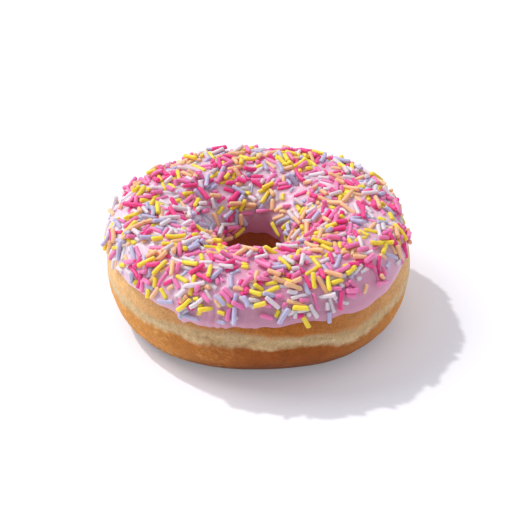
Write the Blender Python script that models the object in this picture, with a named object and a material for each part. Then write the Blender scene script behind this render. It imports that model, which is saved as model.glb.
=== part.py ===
"""A ring doughnut with a coat of icing.

The dough is one closed ring that rests on a flat band underneath. The icing is a second closed
solid, a thick skin over the top of the ring, out to the strands that are scattered on it. It
stops at a wavy edge a little above the ring's waist, and part of the way down the hole. Both
follow one section, a squarish oval whose size changes slowly around the ring. The origin is under
the ring's middle, on the surface it rests on.
"""

import math

import bmesh
import bpy
from mathutils import Matrix, Vector

MM = 0.001

# The ring of dough, in millimetres
OUTER_RADIUS = 47.3
HOLE_RADIUS = 12.0
HOLE_SHIFT_X = -0.7  # where the hole's middle lies
HOLE_SHIFT_Y = -2.1
CREST_RADIUS = 31.0
CREST_HEIGHT = 34.8
WAIST_HEIGHT = 16.6
FOOT_DEPTH = 1.3  # how far the section would pass below the rest plane, where it is cut flat

# Fullness of each quarter of the section: 2 is an ellipse, and more is squarer
SHOULDER_FULLNESS = 2.8
FOOT_FULLNESS = 1.9
HOLE_FULLNESS = 2.05

# Unevenness around the ring: sizes in millimetres, the foot's as a share of its fullness
THREE_SIDED_SWELL = -0.4
FOUR_SIDED_SWELL = -0.25
HOLE_TWO_SIDED = -0.6
FOOT_TWO_SIDED = 0.07
FOOT_THREE_SIDED = -0.13

# The icing, in millimetres, with the strands in and on it
GAP = 0.3  # between the dough and the icing, so that the two solids stay apart
CREST_THICKNESS = 2.6
EDGE_THICKNESS = 0.7
EDGE_HEIGHT = 25.4
EDGE_TILT = -0.5  # the edge runs higher at -X and lower at +X
EDGE_SADDLE = 1.0  # and higher at both than at -Y and +Y
HOLE_EDGE_HEIGHT = 20.2
HOLE_EDGE_SADDLE = -0.9
SKIN_LENGTH = 48.0  # from edge to edge over the crest

# Where the outer edge leaves that line: each as a turn in degrees, a rise in millimetres, negative
# where the icing ran down, and a width in degrees
EDGE_BUMPS = (
    (-146.0, -0.6, 16.0),
    (-110.0, -1.8, 11.0),
    (-84.0, -0.4, 8.0),
    (-74.0, 0.3, 6.0),
    (-49.0, -1.7, 13.5),
    (-16.0, 1.2, 8.0),
    (22.0, -1.0, 10.0),
    (74.0, -1.4, 12.0),
    (104.0, 0.6, 10.0),
    (140.0, -1.1, 12.0),
)

# How finely the rings are faceted
SEGMENTS = 72
DOUGH_SIDES = 30
ICING_STRIPS = 15
LIP_POINTS = 3

# The flat blank that is wrapped over the dough, in millimetres
BLANK_RADIUS = 50.0
BLANK_WIDTH = 30.0


def oval_radius(angle, width, height, fullness):
    """Distance from the middle of a squarish oval to its edge, at a polar angle."""
    across = abs(math.cos(angle)) / width
    up = abs(math.sin(angle)) / height
    return (across**fullness + up**fullness) ** (-1.0 / fullness)


def outer_width(turn):
    """From the crest circle to the ring's outer side, at a place around the ring."""
    swell = THREE_SIDED_SWELL * (math.cos(3 * turn) - math.cos(turn))
    swell += FOUR_SIDED_SWELL * math.sin(4 * turn)
    return OUTER_RADIUS + swell - CREST_RADIUS


def inner_width(turn):
    """From the crest circle to the wall of the hole, at a place around the ring."""
    shift = HOLE_SHIFT_X * math.cos(turn) + HOLE_SHIFT_Y * math.sin(turn)
    swell = HOLE_TWO_SIDED * math.cos(2 * turn)
    return CREST_RADIUS - HOLE_RADIUS - shift - swell


def foot_fullness(turn):
    """Fullness of the outer side below the waist, at a place around the ring."""
    two_sided = FOOT_TWO_SIDED * math.cos(2 * turn)
    three_sided = FOOT_THREE_SIDED * math.sin(3 * turn)
    return FOOT_FULLNESS * (1 + two_sided + three_sided)


def section_point(turn, angle, lift):
    """A point of the ring's section, lifted off the dough by so many millimetres.

    turn is the place around the ring. angle goes round the section from its outer side at 0,
    over the crest at a quarter turn, to the wall of the hole at a half turn.
    """
    outer = math.cos(angle) >= 0
    upper = math.sin(angle) >= 0
    width = outer_width(turn) if outer else inner_width(turn)
    height = CREST_HEIGHT - WAIST_HEIGHT if upper else WAIST_HEIGHT + FOOT_DEPTH
    if not outer:
        fullness = HOLE_FULLNESS
    elif upper:
        fullness = SHOULDER_FULLNESS
    else:
        fullness = foot_fullness(turn)
    reach = oval_radius(angle, width + lift, height + lift, fullness)
    radius = CREST_RADIUS + reach * math.cos(angle)
    level = max(WAIST_HEIGHT + reach * math.sin(angle), 0.0)
    return Vector((radius * math.cos(turn), radius * math.sin(turn), level)) * MM


def angle_at_height(level, width, fullness):
    """Polar angle, above the waist, at which a side of the section reaches a height."""
    rise = level - WAIST_HEIGHT
    share = rise / (CREST_HEIGHT - WAIST_HEIGHT)
    across = width * (1 - share**fullness) ** (1 / fullness)
    return math.atan2(rise, across)


def edge_height(turn):
    """Height of the icing's outer edge, at a place around the ring."""
    level = EDGE_HEIGHT + EDGE_TILT * math.cos(turn) + EDGE_SADDLE * math.cos(2 * turn)
    for middle, rise, width in EDGE_BUMPS:
        away = math.remainder(turn - math.radians(middle), math.tau) / math.radians(width)
        level += rise * math.exp(-away * away)
    return level


def hole_edge_height(turn):
    """Height of the icing's edge down the hole, at a place around the ring."""
    return HOLE_EDGE_HEIGHT + HOLE_EDGE_SADDLE * math.cos(2 * turn)


def icing_thickness(share):
    """Thickness of the icing, which is thickest over the crest and thin at its edges."""
    middle = math.sin(math.pi * min(max(share, 0.0), 1.0))
    return EDGE_THICKNESS + (CREST_THICKNESS - EDGE_THICKNESS) * middle


def icing_point(turn, share, lift):
    """A point of the icing, a share of the way from its outer edge to its edge in the hole.

    lift is 0 on the icing's underside and 1 on its face.
    """
    start = angle_at_height(edge_height(turn), outer_width(turn), SHOULDER_FULLNESS)
    stop = math.pi - angle_at_height(hole_edge_height(turn), inner_width(turn), HOLE_FULLNESS)
    angle = start + share * (stop - start)
    return section_point(turn, angle, GAP + lift * icing_thickness(share))


def blank_outline():
    """Outline of the icing's blank as points of share and lift, with a half-round lip each end."""
    lip_reach = EDGE_THICKNESS / 2 / SKIN_LENGTH
    steps = [math.pi * (i + 1) / (LIP_POINTS + 1) for i in range(LIP_POINTS)]
    lip = [(lip_reach * math.sin(step), 0.5 + 0.5 * math.cos(step)) for step in steps]
    face = [(i / ICING_STRIPS, 1.0) for i in range(ICING_STRIPS + 1)]
    hole_lip = [(1 + reach, lift) for reach, lift in lip]
    underside = [(share, 0.0) for share, _ in reversed(face)]
    outer_lip = [(-reach, lift) for reach, lift in reversed(lip)]
    return face + hole_lip + underside + outer_lip


def spin_ring(shape):
    """Turn the outline in a mesh all the way round the Z axis."""
    bmesh.ops.spin(
        shape,
        geom=shape.verts[:] + shape.edges[:],
        cent=(0, 0, 0),
        axis=(0, 0, 1),
        angle=math.tau,
        steps=SEGMENTS,
        use_merge=True,
    )
    bmesh.ops.recalc_face_normals(shape, faces=shape.faces[:])


def dough_shape():
    """The ring of dough: a plain ring, each point of which is moved out to the section."""
    shape = bmesh.new()
    upright = Matrix.Rotation(math.pi / 2, 4, "X")
    middle = Matrix.Translation(Vector((CREST_RADIUS, 0, WAIST_HEIGHT)) * MM)
    radius = (CREST_RADIUS - HOLE_RADIUS) / 2 * MM
    bmesh.ops.create_circle(shape, segments=DOUGH_SIDES, radius=radius, matrix=middle @ upright)
    spin_ring(shape)
    for vert in shape.verts:
        turn = math.atan2(vert.co.y, vert.co.x)
        across = math.hypot(vert.co.x, vert.co.y) - CREST_RADIUS * MM
        angle = math.atan2(vert.co.z - WAIST_HEIGHT * MM, across)
        vert.co = section_point(turn, angle, 0.0)
    return shape


def icing_shape():
    """The icing: a flat ring with rounded edges, wrapped over the dough."""
    shape = bmesh.new()
    outline = blank_outline()
    points = [Vector((BLANK_RADIUS - share * BLANK_WIDTH, 0, lift)) * MM for share, lift in outline]
    verts = [shape.verts.new(point) for point in points]
    for first, second in zip(verts, verts[1:] + verts[:1]):
        shape.edges.new((first, second))
    spin_ring(shape)
    for vert in shape.verts:
        turn = math.atan2(vert.co.y, vert.co.x)
        share = (BLANK_RADIUS - math.hypot(vert.co.x, vert.co.y) / MM) / BLANK_WIDTH
        vert.co = icing_point(turn, share, vert.co.z / MM)
    return shape


def make_material(name, color, roughness):
    """A Principled material with one colour, as linear red, green and blue."""
    material = bpy.data.materials.new(name)
    material.use_nodes = True
    shader = material.node_tree.nodes["Principled BSDF"]
    shader.inputs["Base Color"].default_value = (*color, 1.0)
    shader.inputs["Roughness"].default_value = roughness
    shader.inputs["Metallic"].default_value = 0.0
    return material


def add_part(name, shape, material):
    """Put a shape in the scene as a smooth-shaded object."""
    mesh = bpy.data.meshes.new(name)
    shape.to_mesh(mesh)
    shape.free()
    mesh.shade_smooth()
    mesh.materials.append(material)
    part = bpy.data.objects.new(name, mesh)
    bpy.context.scene.collection.objects.link(part)
    return part


def clear_scene():
    """Remove what the scene holds."""
    for item in list(bpy.data.objects):
        bpy.data.objects.remove(item, do_unlink=True)


def main():
    """Build the dough and its icing."""
    clear_scene()
    crust = make_material("golden_crust", (0.56, 0.29, 0.10), 0.5)
    pink = make_material("pink_icing", (0.72, 0.42, 0.56), 0.3)
    add_part("dough", dough_shape(), crust)
    add_part("icing", icing_shape(), pink)


main()
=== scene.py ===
"""Dresses a packed ring doughnut: fried dough, pale pink icing and a coat of sugar strands.

The frame's two solids, the dough and the icing, are each replaced by a finer piece that follows
the same section. The strands are then laid on the icing one at a time, each lowered until it
rests, and the icing creeps a little way up the ones that touch it.
"""

import logging
import math
from dataclasses import dataclass, field
from enum import Enum
from typing import Any

import bmesh
import bpy
import numpy as np
from mathutils import Matrix, Vector, noise
from mathutils.bvhtree import BVHTree
from mathutils.kdtree import KDTree

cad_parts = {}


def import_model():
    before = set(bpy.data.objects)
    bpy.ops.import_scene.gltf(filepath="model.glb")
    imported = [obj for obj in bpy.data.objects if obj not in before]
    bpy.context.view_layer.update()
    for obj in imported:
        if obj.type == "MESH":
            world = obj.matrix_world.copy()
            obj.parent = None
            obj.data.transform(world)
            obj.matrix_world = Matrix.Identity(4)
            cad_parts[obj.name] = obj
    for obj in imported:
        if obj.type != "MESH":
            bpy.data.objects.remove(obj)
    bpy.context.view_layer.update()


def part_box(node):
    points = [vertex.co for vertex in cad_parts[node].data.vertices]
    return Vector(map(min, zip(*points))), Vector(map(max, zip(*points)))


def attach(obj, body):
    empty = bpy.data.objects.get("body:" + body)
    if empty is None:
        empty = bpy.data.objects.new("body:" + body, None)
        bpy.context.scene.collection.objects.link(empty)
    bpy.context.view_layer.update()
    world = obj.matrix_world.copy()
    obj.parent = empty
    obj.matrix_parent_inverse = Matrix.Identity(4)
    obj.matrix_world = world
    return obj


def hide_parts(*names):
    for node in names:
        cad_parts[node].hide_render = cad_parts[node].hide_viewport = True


MM = 0.001
BODY = "root"
log = logging.getLogger("doughnut")


# Small helpers


def linear(tone: str) -> tuple[float, float, float, float]:
    """Turn an sRGB hex colour into linear red, green, blue and alpha.

    Args:
        tone: the colour as "#rrggbb".

    Returns:
        The linear colour, fully opaque.
    """
    channels = [int(tone[i : i + 2], 16) / 255 for i in (1, 3, 5)]
    bright = [c / 12.92 if c <= 0.04045 else ((c + 0.055) / 1.055) ** 2.4 for c in channels]
    return (*bright, 1.0)


def smooth_step(value: np.ndarray, low: float, high: float) -> np.ndarray:
    """Rise smoothly from 0 at low to 1 at high."""
    share = np.clip((value - low) / (high - low), 0.0, 1.0)
    return share * share * (3.0 - 2.0 * share)


def bell(turn: np.ndarray, middle: float, width: float) -> np.ndarray:
    """A smooth hump around the ring.

    Args:
        turn: places around the ring, in radians.
        middle: where the hump is highest, in degrees.
        width: how far from there it has fallen to about a third, in degrees.

    Returns:
        The hump's height at each place, 1 at most.
    """
    away = np.angle(np.exp(1j * (turn - math.radians(middle)))) / math.radians(width)
    return np.exp(-away * away)


def noise_at(points: np.ndarray, size: float, seed: float = 0.0) -> np.ndarray:
    """Smooth noise at each point.

    Args:
        points: places in millimetres, one row each.
        size: distance across one feature, in millimetres.
        seed: shift that gives another pattern of the same kind.

    Returns:
        Noise from about -1 to 1 for each point.
    """
    places = (points / size + seed).tolist()
    return np.fromiter((noise.noise(place) for place in places), float, len(places))


def cells_at(points: np.ndarray, size: float) -> np.ndarray:
    """Distance to the nearest of many scattered centres, as a share of their spacing.

    Args:
        points: places in millimetres, one row each.
        size: usual distance between centres, in millimetres.

    Returns:
        The distance for each point, 0 at a centre.
    """
    places = (points / size).tolist()
    return np.fromiter((noise.voronoi(place)[0][0] for place in places), float, len(places))


def spin_all_round(shape: bmesh.types.BMesh, steps: int, cuts: int) -> None:
    """Turn an outline all the way round the Z axis, closed, with its faces outward.

    Args:
        shape: the outline, which lies in the XZ plane.
        steps: straight runs around the ring.
        cuts: further points along each run, which keep the outline's values.
    """
    bmesh.ops.spin(
        shape,
        geom=shape.verts[:] + shape.edges[:],
        cent=(0, 0, 0),
        axis=(0, 0, 1),
        angle=math.tau,
        steps=steps,
        use_merge=True,
    )
    half_step = math.pi / steps
    runs = [edge for edge in shape.edges if turn_between(*edge.verts) > half_step]
    bmesh.ops.subdivide_edges(shape, edges=runs, cuts=cuts)
    bmesh.ops.recalc_face_normals(shape, faces=shape.faces[:])


def turn_between(first: bmesh.types.BMVert, second: bmesh.types.BMVert) -> float:
    """Turn around Z from one point to another, in radians, always positive."""
    return abs(first.co.xy.angle_signed(second.co.xy))


def finished_mesh(name: str, shape: bmesh.types.BMesh) -> bpy.types.Mesh:
    """Turn a shape into a smooth-shaded mesh and free the shape.

    Args:
        name: the mesh's name.
        shape: the shape, which is no longer there afterwards.

    Returns:
        The new mesh.
    """
    mesh = bpy.data.meshes.new(name)
    shape.to_mesh(mesh)
    shape.free()
    mesh.shade_smooth()
    return mesh


def read_points(mesh: bpy.types.Mesh) -> np.ndarray:
    """Read a mesh's points as rows of X, Y and Z, in metres."""
    flat = np.empty(len(mesh.vertices) * 3, np.float32)
    mesh.vertices.foreach_get("co", flat)
    return flat.reshape(-1, 3).astype(float)


def write_points(mesh: bpy.types.Mesh, points: np.ndarray) -> None:
    """Move a mesh's points to new places, in metres."""
    mesh.vertices.foreach_set("co", points.astype(np.float32).ravel())
    mesh.update()


def take(mesh: bpy.types.Mesh, name: str) -> np.ndarray:
    """Read one number for each point of a mesh, and drop it from the mesh.

    Args:
        mesh: the mesh.
        name: the number's name.

    Returns:
        The numbers, in the order of the points.
    """
    layer = mesh.attributes[name]
    values = np.empty(len(mesh.vertices), np.float32)
    layer.data.foreach_get("value", values)
    mesh.attributes.remove(layer)
    return values.astype(float)


def store(mesh: bpy.types.Mesh, name: str, values: np.ndarray) -> None:
    """Keep one number for each point of a mesh, for its material to read."""
    layer = mesh.attributes.new(name, "FLOAT", "POINT")
    layer.data.foreach_set("value", values.astype(np.float32))


def place_piece(
    name: str, mesh: bpy.types.Mesh, material: bpy.types.Material
) -> bpy.types.Object:
    """Put a finished mesh in the scene as a piece that rides on the doughnut.

    Args:
        name: the piece's name.
        mesh: its mesh, already in place.
        material: its finish.

    Returns:
        The new object.
    """
    mesh.materials.append(material)
    piece = bpy.data.objects.new(name, mesh)
    bpy.context.scene.collection.objects.link(piece)
    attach(piece, BODY)
    return piece


@dataclass
class Surface:
    """A new material, with its node tree, its Principled shader and its Object coordinates."""

    name: str

    def __post_init__(self) -> None:
        """Make the material."""
        self.material = bpy.data.materials.new(self.name)
        self.material.use_nodes = True
        self.tree = self.material.node_tree
        self.shader = self.tree.nodes["Principled BSDF"]
        self.place = self.add("ShaderNodeTexCoord", output="Object")

    def add(
        self,
        kind: str,
        inputs: dict[str | int, Any] | None = None,
        output: str | int = 0,
        **settings: Any,
    ) -> bpy.types.NodeSocket:
        """Add a node with its settings and links.

        A Mix node shares its sockets' names among its kinds, so it is used by number: its colours
        are inputs 6 and 7 and output 2.

        Args:
            kind: the node's type.
            inputs: each input's name or number, with its value or the output that feeds it.
            output: name or number of the output that is wanted.
            settings: the node's options by name.

        Returns:
            The wanted output.
        """
        node = self.tree.nodes.new(kind)
        for option, choice in settings.items():
            setattr(node, option, choice)
        for key, value in (inputs or {}).items():
            if isinstance(value, bpy.types.NodeSocket):
                self.tree.links.new(value, node.inputs[key])
            else:
                node.inputs[key].default_value = value
        return node.outputs[output]

    def feed(
        self, color: bpy.types.NodeSocket, normal: bpy.types.NodeSocket | None = None
    ) -> None:
        """Link the shader's colour and, where the surface has relief, its normal.

        Args:
            color: the output that gives the colour.
            normal: the output that gives the bumpy normal.
        """
        self.tree.links.new(color, self.shader.inputs["Base Color"])
        if normal is not None:
            self.tree.links.new(normal, self.shader.inputs["Normal"])

    def set(self, **values: Any) -> None:
        """Set the shader's own values, each named as its input with _ for a space."""
        for key, value in values.items():
            self.shader.inputs[key.replace("_", " ")].default_value = value

    def soften(self, weight: float, depth: float, colors: tuple[float, float, float]) -> None:
        """Let light travel under the surface, to a depth in millimetres for each colour."""
        self.set(
            Subsurface_Weight=weight, Subsurface_Radius=colors, Subsurface_Scale=depth * MM
        )


# The section that every piece follows


@dataclass(frozen=True)
class RingSection:
    """The dough's section: a squarish oval that changes slowly around the ring.

    Sizes are in millimetres. The outer size and the height are the frame's, and the rest is the
    form of the frame's own solids.
    """

    outer_radius: float
    crest_height: float
    hole_radius: float = 12.0
    hole_two_sided: float = -0.6
    hole_shift_x: float = -0.7
    hole_shift_y: float = -2.1
    crest_radius: float = 31.0
    waist_height: float = 16.6
    foot_depth: float = 1.3
    shoulder_fullness: float = 2.8
    foot_fullness: float = 1.9
    hole_fullness: float = 2.05
    three_sided_swell: float = -0.4
    four_sided_swell: float = -0.25
    foot_two_sided: float = 0.07
    foot_three_sided: float = -0.13

    @classmethod
    def from_frame(cls) -> "RingSection":
        """Measure the dough in the frame."""
        low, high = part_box("dough")
        return cls(outer_radius=(high.x - low.x) / 2 / MM, crest_height=high.z / MM)

    def outer_width(self, turn: np.ndarray) -> np.ndarray:
        """Measure from the crest circle to the outer side.

        Args:
            turn: places around the ring, in radians.

        Returns:
            The width at each place, in millimetres.
        """
        swell = self.three_sided_swell * (np.cos(3 * turn) - np.cos(turn))
        swell = swell + self.four_sided_swell * np.sin(4 * turn)
        return self.outer_radius + swell - self.crest_radius

    def inner_width(self, turn: np.ndarray) -> np.ndarray:
        """Measure from the crest circle to the wall of the hole.

        Args:
            turn: places around the ring, in radians.

        Returns:
            The width at each place, in millimetres.
        """
        shift = self.hole_shift_x * np.cos(turn) + self.hole_shift_y * np.sin(turn)
        shift = shift + self.hole_two_sided * np.cos(2 * turn)
        return self.crest_radius - self.hole_radius - shift

    def foot_roundness(self, turn: np.ndarray) -> np.ndarray:
        """Find the fullness of the outer side below the waist.

        Args:
            turn: places around the ring, in radians.

        Returns:
            The fullness at each place: 2 is an ellipse's, and less is flatter.
        """
        two_sided = self.foot_two_sided * np.cos(2 * turn)
        three_sided = self.foot_three_sided * np.sin(3 * turn)
        return self.foot_fullness * (1 + two_sided + three_sided)

    def point(self, turn: np.ndarray, angle: np.ndarray, lift: np.ndarray) -> np.ndarray:
        """Find points on or off the dough.

        Args:
            turn: places around the ring, in radians.
            angle: places round the section, from its outer side at 0 over the crest.
            lift: how far off the plain dough each point lies, in millimetres.

        Returns:
            The points in millimetres, one row each, none below the rest plane.
        """
        across, up = np.cos(angle), np.sin(angle)
        outer, upper = across >= 0, up >= 0
        width = np.where(outer, self.outer_width(turn), self.inner_width(turn)) + lift
        depth = self.waist_height + self.foot_depth
        height = np.where(upper, self.crest_height - self.waist_height, depth) + lift
        outer_fullness = np.where(upper, self.shoulder_fullness, self.foot_roundness(turn))
        fullness = np.where(outer, outer_fullness, self.hole_fullness)
        wide = np.abs(across / width) ** fullness
        high = np.abs(up / height) ** fullness
        reach = (wide + high) ** (-1 / fullness)
        radius = self.crest_radius + reach * across
        level = np.maximum(self.waist_height + reach * up, 0.0)
        return np.stack([radius * np.cos(turn), radius * np.sin(turn), level], axis=-1)

    def angle_at(self, level: np.ndarray, width: np.ndarray, fullness: float) -> np.ndarray:
        """Find where a side of the section reaches a height above the waist.

        Args:
            level: the heights, in millimetres.
            width: the side's width at each of them, in millimetres.
            fullness: the side's fullness.

        Returns:
            The angle round the section at each height.
        """
        rise = level - self.waist_height
        share = rise / (self.crest_height - self.waist_height)
        return np.arctan2(rise, width * (1 - share**fullness) ** (1 / fullness))


# The dough


@dataclass(frozen=True)
class FriedDoughFinish:
    """Fried yeast dough: the eye sees a matt, finely pored crust, gold where the fat touched it
    briefly and brown under the foot, and a pale belt of steamed dough that the fat never reached."""

    belt_pale: str = "#edd1a2"
    belt_shade: str = "#c59b63"
    # the brown tones hold the front's deeper browning and its painted shade, as it is turned from the
    # key light
    upper_gold: str = "#f0c284"
    upper_brown: str = "#c4742e"
    lower_gold: str = "#eba34c"
    lower_brown: str = "#aa5716"
    foot_brown: str = "#733812"
    hole_brown: str = "#a6532e"
    blister_glint_tone: str = "#efb96c"
    roughness: float = 0.6
    pore_size: float = 0.55
    tear_size: float = 1.6
    mottle_size: float = 5.0
    relief: float = 0.16
    # how far the belt's edges wander with the mottles and the tears, as a share of its half width
    wander: float = 1.5
    tear: float = 0.7
    # heights between which the foot's brown fades in
    foot_top: float = 9.0
    foot_full: float = 0.5

    def make(self) -> bpy.types.Material:
        """Build the material.

        Returns:
            The dough's material, which reads the numbers kept on the dough's points.
        """
        surface = Surface("fried_yeast_dough")
        belt, brown, blister, streak, inside = (
            surface.add("ShaderNodeAttribute", output="Fac", attribute_name=name)
            for name in ("belt", "front_shade_and_browning", "blister", "streak", "inside")
        )
        level = surface.add("ShaderNodeSeparateXYZ", {"Vector": surface.place}, "Z")
        mottle, ragged, grain = (
            surface.add(
                "ShaderNodeTexNoise",
                {
                    "Vector": surface.place,
                    "Scale": 1 / (size * MM),
                    "Detail": detail,
                    "Roughness": 0.55,
                },
                "Fac",
            )
            for size, detail in (
                (self.mottle_size, 3.0), (self.tear_size, 3.0), (self.pore_size, 2.0)
            )
        )

        # the belt's edges wander, and are a little torn
        middle = -(self.wander + self.tear) / 2
        edge = surface.add("ShaderNodeMath", {0: belt, 1: middle}, operation="ADD")
        for pattern, reach in ((mottle, self.wander), (ragged, self.tear)):
            edge = surface.add(
                "ShaderNodeMath", {0: pattern, 1: reach, 2: edge}, operation="MULTIPLY_ADD"
            )

        # gold to brown toward the front: deeper browning and painted shade together
        upper, lower = (
            surface.add(
                "ShaderNodeMix", {0: brown, 6: linear(light), 7: linear(dark)}, 2, data_type="RGBA"
            )
            for light, dark in (
                (self.upper_gold, self.upper_brown), (self.lower_gold, self.lower_brown)
            )
        )
        foot, above, below = (
            surface.add(
                "ShaderNodeMapRange",
                {"Value": value, "From Min": none, "From Max": full},
                interpolation_type="SMOOTHSTEP",
            )
            for value, none, full in (
                (level, self.foot_top * MM, self.foot_full * MM),
                (edge, 0.4, 1.6),
                (edge, -0.45, -1.5),
            )
        )
        lower = surface.add(
            "ShaderNodeMix", {0: foot, 6: lower, 7: linear(self.foot_brown)}, 2, data_type="RGBA"
        )
        cream = surface.add("ShaderNodeMath", {0: ragged, 1: 0.5}, operation="MULTIPLY")
        cream = surface.add(
            "ShaderNodeMath", {0: streak, 1: 0.5, 2: cream}, operation="MULTIPLY_ADD"
        )
        # painted highlight: the blisters' tops are drawn paler
        glint = surface.add("ShaderNodeMath", {0: blister, 1: 0.95}, operation="MULTIPLY")
        skin = linear(self.belt_shade)
        for share, tone in (
            (cream, linear(self.belt_pale)),
            (above, upper),
            (below, lower),
            (glint, linear(self.blister_glint_tone)),
            (inside, linear(self.hole_brown)),
        ):
            skin = surface.add("ShaderNodeMix", {0: share, 6: skin, 7: tone}, 2, data_type="RGBA")

        # painted shade: the front, turned from the key light, is darker, belt too, over its deeper
        # browning
        value = 0.275
        for pattern, weight in ((grain, 0.65), (ragged, 0.4), (mottle, 0.4), (brown, -0.28)):
            value = surface.add(
                "ShaderNodeMath", {0: pattern, 1: weight, 2: value}, operation="MULTIPLY_ADD"
            )
        color = surface.add("ShaderNodeHueSaturation", {"Color": skin, "Value": value})
        height = surface.add(
            "ShaderNodeMath", {0: ragged, 1: 0.6, 2: grain}, operation="MULTIPLY_ADD"
        )
        normal = surface.add(
            "ShaderNodeBump", {"Height": height, "Strength": 0.7, "Distance": self.relief * MM}
        )
        surface.feed(color, normal)
        surface.set(Roughness=self.roughness, Specular_IOR_Level=0.15)
        surface.soften(0.15, 1.0, (1.0, 0.5, 0.25))
        return surface.material


@dataclass
class Dough:
    """The ring of fried dough, as one closed skin. Sizes are in millimetres."""

    section: RingSection
    finish: FriedDoughFinish = field(default_factory=FriedDoughFinish)
    segments: int = 60
    cuts: int = 7
    sides: int = 200
    # heights of the pale belt's two edges, and where each leaves that line: place in degrees,
    # rise, width in degrees
    belt_top: float = 19.4
    belt_bottom: float = 15.9
    top_bumps: tuple[tuple[float, float, float], ...] = (
        (-133.0, -0.4, 10.0),
        (-100.0, 1.9, 24.0),
        (-54.0, -1.8, 15.0),
        (-2.0, 6.8, 13.0),
        (62.0, -1.1, 25.0),
        (128.0, 1.2, 28.0),
    )
    bottom_bumps: tuple[tuple[float, float, float], ...] = (
        (-148.0, -0.6, 7.0),
        (-121.0, 0.9, 6.0),
        (-94.0, 0.8, 6.0),
        (-77.0, 0.5, 4.0),
        (-55.0, -3.6, 10.0),
        (-44.0, -1.5, 8.0),
        (-6.0, -1.6, 12.0),
        (18.0, 0.7, 9.0),
        (58.0, -2.2, 13.0),
        (92.0, 0.8, 8.0),
        (133.0, -1.6, 15.0),
        (168.0, 0.6, 8.0),
    )
    # where the side swells out at the belt: how far, place in degrees, width in degrees
    bulge: float = 0.8
    bulge_place: float = 0.0
    bulge_width: float = 24.0
    bulge_height: float = 6.0
    # where the crust is drawn browner and darker: deeper browning, and painted shade on the front
    front_shade_place: float = -80.0
    front_shade_width: float = 52.0
    unevenness: float = 0.28
    swell_size: float = 17.0
    dimple_depth: float = 0.1
    dimple_size: float = 4.0
    blister_height: float = 0.34
    blister_size: float = 1.5
    # where blisters lie thickly: place in degrees, share, width in degrees
    blistered: tuple[tuple[float, float, float], ...] = ((-132.0, 1.0, 26.0), (60.0, 0.5, 50.0))
    streak_length: float = 9.0
    streak_width: float = 1.9

    def build(self) -> bpy.types.Object:
        """Make the dough's piece.

        Returns:
            The piece, which stands for the frame's dough.
        """
        section = self.section
        shape = bmesh.new()
        upright = Matrix.Rotation(math.pi / 2, 4, "X")
        middle = Vector((section.crest_radius, 0, section.waist_height))
        bmesh.ops.create_circle(
            shape, segments=self.sides, radius=1.0, matrix=Matrix.Translation(middle) @ upright
        )
        layer = shape.verts.layers.float.new("angle")
        for vert in shape.verts:
            vert[layer] = math.atan2(vert.co.z - middle.z, vert.co.x - middle.x)
        spin_all_round(shape, self.segments, self.cuts)
        mesh = finished_mesh("dough_ring", shape)
        plain = read_points(mesh)
        turn, angle = np.arctan2(plain[:, 1], plain[:, 0]), take(mesh, "angle")
        smooth = section.point(turn, angle, np.zeros(len(plain)))
        blister = self.blisters(turn, smooth)
        lift = self.swells(smooth) + self.blister_height * blister
        points = section.point(turn, angle, lift)
        write_points(mesh, points * MM)
        store(mesh, "belt", self.belt(turn, points[:, 2]))
        # painted shade on the front, which is turned from the key light, together with its deeper
        # browning
        store(mesh, "front_shade_and_browning", bell(turn, self.front_shade_place, self.front_shade_width))
        store(mesh, "blister", blister)
        store(mesh, "streak", self.streaks(points))
        store(mesh, "inside", self.inside(points))
        piece = place_piece("dough_ring", mesh, self.finish.make())
        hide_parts("dough")
        return piece

    def belt_edges(self, turn: np.ndarray) -> tuple[np.ndarray, np.ndarray]:
        """Find the heights of the pale belt's two edges.

        Args:
            turn: places around the ring, in radians.

        Returns:
            The upper edge's height at each place and the lower edge's, in millimetres.
        """
        top = self.belt_top + sum(rise * bell(turn, at, wide) for at, rise, wide in self.top_bumps)
        bottom = self.belt_bottom + sum(
            rise * bell(turn, at, wide) for at, rise, wide in self.bottom_bumps
        )
        return top, bottom

    def belt(self, turn: np.ndarray, level: np.ndarray) -> np.ndarray:
        """Height above the pale belt's middle: 1 at its upper edge and -1 at its lower one."""
        top, bottom = self.belt_edges(turn)
        return (2 * level - top - bottom) / (top - bottom)

    def streaks(self, points: np.ndarray) -> np.ndarray:
        """Faint level streaks, where the dough spread as it rose: from 0 to 1."""
        stretch = np.array([1 / self.streak_length, 1 / self.streak_length, 1 / self.streak_width])
        return np.clip(0.5 + 0.7 * noise_at(points * stretch, 1.0, 7.0), 0.0, 1.0)

    def inside(self, points: np.ndarray) -> np.ndarray:
        """How far round into the hole each point lies: 0 outside and 1 on the hole's wall."""
        inward = self.section.crest_radius - np.hypot(points[:, 0], points[:, 1])
        return smooth_step(inward, 7.0, 13.0)

    def swells(self, points: np.ndarray) -> np.ndarray:
        """Find the slow swells and shallow dimples, none at the flat foot, and the side's bulge.

        Args:
            points: places on the plain dough, in millimetres.

        Returns:
            How far each point rises, in millimetres.
        """
        slow = self.unevenness * noise_at(points, self.swell_size)
        dimples = self.dimple_depth * noise_at(points, self.dimple_size, 9.0)
        turn = np.arctan2(points[:, 1], points[:, 0])
        bulge = self.bulge * bell(turn, self.bulge_place, self.bulge_width)
        bulge = bulge * np.exp(-(((points[:, 2] - self.belt_top) / self.bulge_height) ** 2))
        return (slow + dimples) * smooth_step(points[:, 2], 0.0, 4.0) + bulge

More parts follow.
